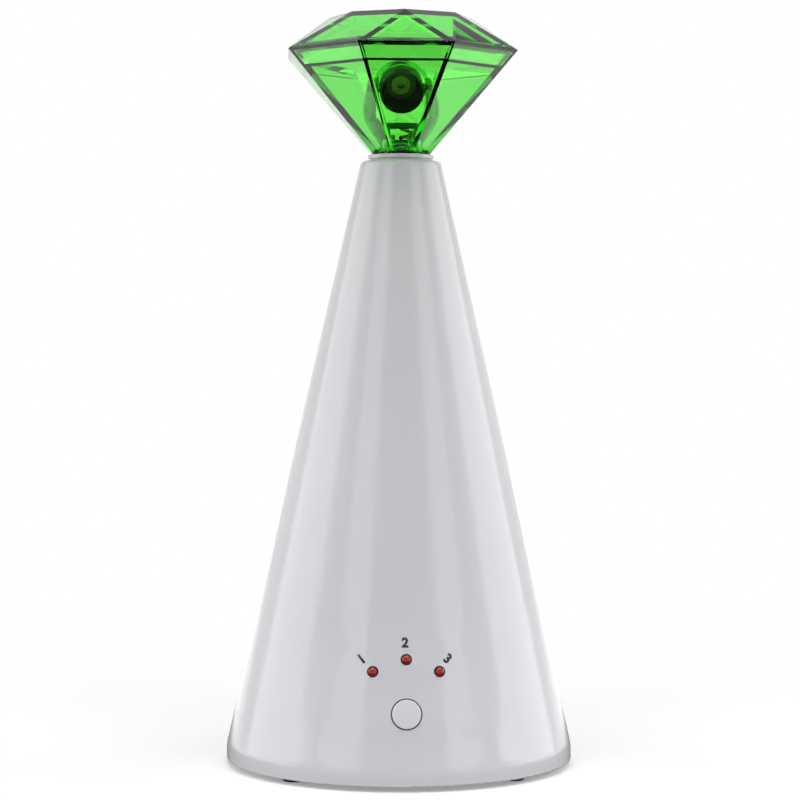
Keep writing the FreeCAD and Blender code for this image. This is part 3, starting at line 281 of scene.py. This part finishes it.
def gloss_plastic(name, colour, rough=0.12, wave=0.03):
    """Polished moulding: faint flow waves, a fine skin and a little unevenness in tone."""
    finish = Finish(name)
    tone = finish.noise(22.0, 4.0)
    finish.colour(finish.ramp(tone, (0.3, shade(colour, 0.975)), (0.7, shade(colour, 1.015))))
    finish.roughness(finish.spread(finish.noise(140.0, 4.0), rough * 0.8, rough * 1.25))
    first = finish.bump(finish.noise(30.0, 1.0), wave, 1.0 * MM)
    finish.bump(finish.noise(1600.0, 2.0), 0.02, 0.1 * MM, first)
    finish.set(IOR=PLASTIC_IOR)
    return finish.material


def matte_plastic(name, colour, rough=0.45, grain=0.25):
    """Spark-textured moulding with a fine even grain."""
    finish = Finish(name)
    tone = finish.noise(60.0, 4.0)
    finish.colour(finish.ramp(tone, (0.3, shade(colour, 0.93)), (0.7, shade(colour, 1.05))))
    finish.roughness(finish.spread(finish.noise(300.0, 5.0), rough * 0.85, rough * 1.2))
    finish.bump(finish.noise(2600.0, 4.0, 0.6), grain, 0.06 * MM)
    finish.set(IOR=PLASTIC_IOR)
    return finish.material


def clear_green(name, rough, wave, tint, depth):
    """Green tinted clear plastic: the tint comes from the depth of material."""
    finish = Finish(name)
    tone = finish.noise(40.0, 2.0)
    finish.colour(finish.ramp(tone, (0.3, (0.90, 1.0, 0.90)), (0.7, (0.94, 1.0, 0.94))))
    finish.roughness(finish.spread(finish.noise(90.0, 3.0), rough * 0.5, rough))
    finish.bump(finish.noise(70.0, 2.0), wave, 0.4 * MM)
    finish.set(IOR=PLASTIC_IOR, Transmission_Weight=1.0)
    finish.absorb(tint, depth)
    return finish.material


def metal(name, colour, rough, stretch=(1.0, 1.0, 1.0)):
    """Bare metal with fine marks, drawn out along an axis by stretch, and uneven polish."""
    finish = Finish(name)
    marks = finish.noise(900.0, 6.0, 0.65, stretch)
    finish.colour(finish.ramp(marks, (0.25, shade(colour, 0.88)), (0.75, shade(colour, 1.06))))
    finish.roughness(finish.spread(finish.noise(220.0, 4.0), rough * 0.75, rough * 1.35))
    finish.bump(marks, 0.15, 0.02 * MM)
    finish.set(Metallic=1.0)
    return finish.material


def rubber(name, colour):
    """Dull rubber with paler dust in its grain."""
    finish = Finish(name)
    dust = finish.noise(500.0, 6.0, 0.7)
    finish.colour(finish.ramp(dust, (0.35, colour), (0.75, shade(colour, 2.2))))
    finish.roughness(finish.spread(finish.noise(350.0, 4.0), 0.62, 0.85))
    finish.bump(finish.noise(3200.0, 3.0), 0.35, 0.05 * MM)
    finish.set(IOR=PLASTIC_IOR)
    return finish.material


def laminate(name):
    """Solder mask over glass cloth, with paler and darker weave threads."""
    finish = Finish(name)
    wave = finish.node("ShaderNodeTexWave", wave_type="BANDS", bands_direction="X")
    wave.inputs["Scale"].default_value = 700.0
    wave.inputs["Distortion"].default_value = 1.5
    finish.link(finish.place, wave.inputs["Vector"])
    weave = wave.outputs["Fac"]
    finish.colour(finish.ramp(weave, (0.2, (0.02, 0.20, 0.08)), (0.8, (0.04, 0.27, 0.11))))
    finish.roughness(finish.spread(finish.noise(160.0, 3.0), 0.22, 0.38))
    finish.bump(weave, 0.12, 0.03 * MM)
    finish.set(IOR=GLASS_IOR)
    return finish.material


def from_axis(finish, centre, axis):
    """Distance from a line through centre along axis, in metres."""
    offset = finish.node("ShaderNodeVectorMath", operation="SUBTRACT")
    finish.link(finish.place, offset.inputs[0])
    offset.inputs[1].default_value = centre
    cross = finish.node("ShaderNodeVectorMath", operation="CROSS_PRODUCT")
    finish.link(offset.outputs[0], cross.inputs[0])
    cross.inputs[1].default_value = axis
    length = finish.node("ShaderNodeVectorMath", operation="LENGTH")
    finish.link(cross.outputs[0], length.inputs[0])
    return length.outputs["Value"]


def lamp_red(name, centre):
    """Tinted clear lamp: a painted highlight in the middle, a darker ring for the die, and painted
    shade darkening it to the rim.
    """
    finish = Finish(name)
    reach = finish.spread(from_axis(finish, centre, PANEL_OUT), 0.0, 1.0, 0.0, LAMP_RADIUS)
    # Colour by distance from the lamp's axis holds painted light: the pale orange middle is a
    # painted highlight and the dark outer band is painted shade.
    finish.colour(finish.ramp(
        reach,
        (0.0, (0.50, 0.06, 0.03)),
        (0.16, (0.34, 0.008, 0.008)),
        (0.30, (0.42, 0.012, 0.012)),
        (0.62, (0.30, 0.008, 0.010)),
        (0.92, (0.10, 0.004, 0.006)),
    ))
    finish.roughness(finish.spread(finish.noise(600.0, 3.0), 0.07, 0.14))
    finish.bump(finish.noise(900.0, 2.0), 0.04, 0.05 * MM)
    finish.set(IOR=PLASTIC_IOR, Transmission_Weight=0.15)
    return finish.material


def glass(name):
    """Clear lens glass."""
    finish = Finish(name)
    tone = finish.noise(200.0)
    finish.colour(finish.ramp(tone, (0.3, (0.93, 0.97, 1.0)), (0.7, (0.97, 0.99, 1.0))))
    finish.roughness(finish.spread(finish.noise(400.0), 0.0, 0.03))
    finish.set(IOR=GLASS_IOR, Transmission_Weight=1.0)
    return finish.material


def cell_sleeve(name, turns):
    """Plain dark sleeve with one warm metallic band at the positive end."""
    finish = Finish(name)
    split = finish.node("ShaderNodeSeparateXYZ")
    finish.link(finish.place, split.inputs[0])
    end = CELL_HALF_LENGTH * turns
    along = finish.spread(split.outputs["X"], 0.0, 1.0, -end, end)
    finish.colour(finish.ramp(
        along,
        (0.0, (0.55, 0.55, 0.56)),
        (0.012, (0.02, 0.022, 0.028)),
        (0.70, (0.025, 0.027, 0.035)),
        (0.71, (0.60, 0.36, 0.14)),
        (0.985, (0.62, 0.38, 0.15)),
        (1.0, (0.62, 0.62, 0.62)),
    ))
    finish.roughness(finish.spread(finish.noise(180.0, 4.0), 0.22, 0.36))
    finish.bump(finish.noise(500.0, 3.0), 0.05, 0.05 * MM)
    finish.set(IOR=PLASTIC_IOR)
    return finish.material


def lead_sleeve(name):
    """Red sleeve of the leads."""
    finish = Finish(name)
    tone = finish.noise(150.0)
    finish.colour(finish.ramp(tone, (0.3, (0.42, 0.02, 0.02)), (0.7, (0.52, 0.03, 0.03))))
    finish.roughness(finish.spread(finish.noise(500.0), 0.38, 0.52))
    finish.bump(finish.noise(1500.0, 3.0), 0.1, 0.03 * MM)
    finish.set(IOR=SLEEVE_IOR)
    return finish.material


def ink(name):
    """Pad printed ink with a slightly uneven film."""
    finish = Finish(name)
    tone = finish.noise(2500.0, 5.0)
    dark, pale = (0.012, 0.012, 0.013), (0.035, 0.035, 0.037)
    finish.colour(finish.ramp(tone, (0.3, dark), (0.75, pale)))
    finish.roughness(finish.spread(finish.noise(1500.0, 3.0), 0.32, 0.5))
    finish.bump(finish.noise(4000.0, 3.0), 0.1, 0.01 * MM)
    finish.set(IOR=PLASTIC_IOR)
    return finish.material


def make_materials():
    """The materials that do not depend on a node, by their names in the record's slots."""
    return {
        "casing_white": gloss_plastic(
            "casing_white", (0.69, 0.683, 0.715), rough=0.15, wave=0.012),
        "button_white": gloss_plastic("button_white", (0.75, 0.743, 0.77), rough=0.20),
        "base_plastic": matte_plastic("base_plastic", (0.69, 0.683, 0.71)),
        "foot_rubber": rubber("foot_rubber", (0.025, 0.024, 0.024)),
        "screw_steel": metal("screw_steel", (0.62, 0.63, 0.65), 0.30),
        "board_laminate": laminate("board_laminate"),
        "chip_black": matte_plastic("chip_black", (0.022, 0.022, 0.025), rough=0.5),
        "capacitor_sleeve": gloss_plastic("capacitor_sleeve", (0.04, 0.05, 0.11), rough=0.25),
        "inner_plastic": matte_plastic("inner_plastic", (0.10, 0.10, 0.11)),
        "gearbox_brass": metal("gearbox_brass", (0.74, 0.56, 0.26), 0.28),
        "motor_steel": metal("motor_steel", (0.66, 0.67, 0.69), 0.26, (0.15, 0.15, 3.0)),
        "gear_acetal": matte_plastic("gear_acetal", (0.84, 0.83, 0.79), rough=0.35, grain=0.1),
        "spindle_dark": metal("spindle_dark", (0.06, 0.065, 0.06), 0.38),
        "contact_brass": metal("contact_brass", (0.78, 0.60, 0.30), 0.24),
        "contact_nickel": metal("contact_nickel", (0.72, 0.71, 0.69), 0.18),
        "gem_green": clear_green("gem_green", 0.02, 0.04, (0.26, 0.88, 0.06), 370.0),
        "yoke_green": clear_green("yoke_green", 0.04, 0.10, (0.04, 0.80, 0.02), 850.0),
        "barrel_black": matte_plastic(
            "barrel_black", (0.006, 0.006, 0.006), rough=0.34, grain=0.1),
        "laser_brass": metal("laser_brass", (0.20, 0.15, 0.07), 0.42),
        "lens_glass": glass("lens_glass"),
        "lead_sleeve": lead_sleeve("lead_sleeve"),
    }


def dress(materials):
    """Gives every CAD node the material of its slot."""
    for row in frame["record"]["subparts"]:
        name, slot = row["node"], row["material_slot"]
        if slot == "lamp_red":
            x, rise = LAMPS[name]
            centre = PANEL_ORIGIN + Vector((x * MM, 0.0, 0.0)) + PANEL_UP * rise * MM
            material = lamp_red(name + "_red", centre)
        elif slot == "cell_sleeve":
            material = cell_sleeve(name + "_sleeve", -1 if name == "cell_2" else 1)
        else:
            material = materials[slot]
        cover(nodes[name].data, material)


def soften(name, width):
    """Small rounds on a CAD node's sharp edges, so that they catch the light."""
    node = nodes[name]
    weld = node.modifiers.new("weld", "WELD")
    weld.merge_threshold = WELD_REACH
    rounds = node.modifiers.new("rounds", "BEVEL")
    rounds.width = width
    rounds.segments = ROUND_SEGMENTS
    rounds.limit_method = "ANGLE"
    rounds.angle_limit = math.radians(ROUND_ANGLE)
    rounds.harden_normals = True


def flexing_lead(name, node_name, material):
    """A copy of the laser's lead between the turning head and the tilting barrel, in place of its
    hidden CAD node.
    """
    node = nodes[node_name]
    mesh = node.data.copy()
    mesh.transform(node.matrix_world)
    cover(mesh, material)
    lead = place_object(name, mesh)
    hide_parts(node_name)
    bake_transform(lead)


# Printed marks beside the lamps

def cone_point(across, height, proud):
    """A point over the cone's side, from an arc length off the front and a height over the rim."""
    radius = CONE_FOOT_RADIUS - CONE_SLOPE * height
    angle = across / radius
    east, north = math.sin(angle), -math.cos(angle)
    out = Vector((east * math.cos(CONE_LEAN), north * math.cos(CONE_LEAN), math.sin(CONE_LEAN)))
    on_side = Vector((east * radius, north * radius, FOOT_STAND + height))
    return on_side + out * proud


def mark(name, text, across, height, turn, material):
    """One printed numeral, wrapped on the cone as a thin film of ink."""
    curve = bpy.data.curves.new(name, "FONT")
    curve.body = text
    curve.align_x = "CENTER"
    curve.align_y = "CENTER"
    curve.size = MARK_SIZE
    curve.offset = MARK_WEIGHT * MARK_SIZE
    curve.resolution_u = MARK_SMOOTHNESS
    draft = place_object(name + "_draft", curve)
    bpy.context.view_layer.update()
    shaped = draft.evaluated_get(bpy.context.evaluated_depsgraph_get())
    mesh = bpy.data.meshes.new_from_object(shaped)
    bpy.data.objects.remove(draft)
    spin = Matrix.Rotation(math.radians(turn), 3, "Z")
    for vertex in mesh.vertices:
        flat = spin @ vertex.co
        up = height * MM + flat.y * math.cos(CONE_LEAN)
        vertex.co = cone_point(across * MM + flat.x, up, FILM_PROUD)
    film = place_object(name, mesh)
    cover(mesh, material)
    thick = film.modifiers.new("film", "SOLIDIFY")
    thick.thickness = FILM_THICKNESS
    thick.offset = -1.0
    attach(film, "base")


# Floor, world and lamps

def step(tree, operation, *values):
    """One Math node on values that are sockets or floats."""
    made = tree.nodes.new("ShaderNodeMath")
    made.operation = operation
    for index, value in enumerate(values):
        if isinstance(value, float):
            made.inputs[index].default_value = value
        else:
            tree.links.new(value, made.inputs[index])
    return made.outputs[0]


def show_ray(tree):
    """1 for a camera ray and for a ray through clear material, and else 0."""
    path = tree.nodes.new("ShaderNodeLightPath")
    clear = path.outputs["Is Transmission Ray"]
    return step(tree, "MAXIMUM", path.outputs["Is Camera Ray"], clear)


def background(tree, strength):
    made = tree.nodes.new("ShaderNodeBackground")
    made.inputs["Color"].default_value = WHITE
    made.inputs["Strength"].default_value = strength
    return made.outputs[0]


def mixed(tree, share, first, second):
    """The first shader where share is 0, and the second where it is 1."""
    made = tree.nodes.new("ShaderNodeMixShader")
    tree.links.new(share, made.inputs[0])
    tree.links.new(first, made.inputs[1])
    tree.links.new(second, made.inputs[2])
    return made.outputs[0]


def make_world():
    """A white room whose front half is dim for reflections, as behind a camera."""
    world = bpy.data.worlds.new("studio")
    bpy.context.scene.world = world
    world.use_nodes = True
    tree = world.node_tree
    tree.nodes.clear()
    way = tree.nodes.new("ShaderNodeSeparateXYZ")
    tree.links.new(tree.nodes.new("ShaderNodeTexCoord").outputs["Generated"], way.inputs[0])
    ahead = tree.nodes.new("ShaderNodeMapRange")
    ahead.interpolation_type = "SMOOTHSTEP"
    ahead.inputs["From Min"].default_value = FRONT_DIM_TO
    ahead.inputs["From Max"].default_value = FRONT_BRIGHT_FROM
    tree.links.new(way.outputs["Y"], ahead.inputs["Value"])
    dim, bright = background(tree, WORLD_FRONT), background(tree, 1.0)
    mirror = mixed(tree, ahead.outputs["Result"], dim, bright)
    path = tree.nodes.new("ShaderNodeLightPath")
    ambient = background(tree, WORLD_AMBIENT)
    unseen = mixed(tree, path.outputs["Is Glossy Ray"], ambient, mirror)
    whole = mixed(tree, show_ray(tree), unseen, background(tree, 1.0))
    out = tree.nodes.new("ShaderNodeOutputWorld")
    tree.links.new(whole, out.inputs["Surface"])


def floor_mesh():
    """A flat ring from the opening out to the floor's reach."""
    corners = []
    faces = []
    count = 2 * FLOOR_SIDES
    for index in range(FLOOR_SIDES):
        angle = math.tau * index / FLOOR_SIDES
        for radius in (FLOOR_OPENING, FLOOR_REACH):
            corners.append((radius * math.cos(angle), radius * math.sin(angle), 0.0))
        start = 2 * index
        faces.append((start, start + 1, (start + 3) % count, (start + 2) % count))
    mesh = bpy.data.meshes.new("floor")
    mesh.from_pydata(corners, [], faces)
    return mesh


def make_floor():
    """A white sweep that keeps the shadow near the object and fades into the white room.

    It is open under the middle of the object, where no view from above can look,
    so that the underside is lit when it is looked at from below.
    """
    mesh = floor_mesh()
    floor = place_object("floor", mesh)
    finish = Finish("floor_white")
    tree = finish.tree
    length = finish.node("ShaderNodeVectorMath", operation="LENGTH")
    finish.link(finish.place, length.inputs[0])
    away = length.outputs["Value"]
    finish.colour(finish.ramp(away, FLOOR_NEAR, FLOOR_FAR))
    finish.roughness(finish.spread(finish.noise(30.0), 0.85, 0.95))
    finish.set(Specular_IOR_Level=0.0)

    # Near the object: lit white with a weak glow of its own for the eye
    seen = show_ray(tree)
    near = finish.node("ShaderNodeAddShader")
    finish.link(finish.shader.outputs[0], near.inputs[0])
    finish.link(finish.emission(step(tree, "MULTIPLY", seen, FLOOR_GLOW)), near.inputs[1])

    # Farther off: plain white light for the eye, and another floor for reflections
    far = finish.spread(away, 0.0, 1.0, *FLOOR_FADE)
    sweep = mixed(tree, step(tree, "MULTIPLY", far, seen), near.outputs[0], finish.emission())
    # Reflections see the floor only as a glow: dim near the object, a painted shadow of it, and
    # bright farther off.
    mirrored_shadow_and_glow = finish.emission(finish.spread(away, *FLOOR_MIRRORED_SHADOW_AND_GLOW, *FLOOR_MIRRORED_SHADOW_FADE))
    path = finish.node("ShaderNodeLightPath")
    sweep = mixed(tree, path.outputs["Is Glossy Ray"], sweep, mirrored_shadow_and_glow)

    # Seen from below it is clear
    under = finish.node("ShaderNodeBsdfTransparent").outputs[0]
    backside = finish.node("ShaderNodeNewGeometry").outputs["Backfacing"]
    finish.link(mixed(tree, backside, sweep, under), finish.out.inputs["Surface"])
    mesh.materials.append(finish.material)


def softbox(name, azimuth, distance, height, width, tall, radiance):
    """A rectangular lamp that faces the object. Azimuth 0 is in front, 90 at the right."""
    data = bpy.data.lights.new(name, "AREA")
    data.shape = "RECTANGLE"
    data.size = width
    data.size_y = tall
    data.energy = radiance * math.pi * width * tall
    lamp = place_object(name, data)
    lamp.location = around(math.radians(azimuth), distance, height)
    aim = SOFTBOX_TARGET - lamp.location
    lamp.rotation_euler = aim.to_track_quat("-Z", "Y").to_euler()
    lamp.visible_camera = False


make_camera()
materials = make_materials()
dress(materials)
for gem_shell in ("pavilion_shell", "crown_shell"):
    soften(gem_shell, GEM_ROUND)
flexing_lead("laser_lead_flexing", "laser_leads", materials["lead_sleeve"])
print_ink = ink("print_ink")
for mark_row in MARKS:
    mark(*mark_row, print_ink)

make_world()
make_floor()
for softbox_row in SOFTBOXES:
    softbox(*softbox_row)
bpy.context.scene.view_settings.view_transform = "Standard"
bpy.context.scene.cycles.max_bounces = LIGHT_BOUNCES
bpy.context.scene.cycles.transmission_bounces = LIGHT_BOUNCES
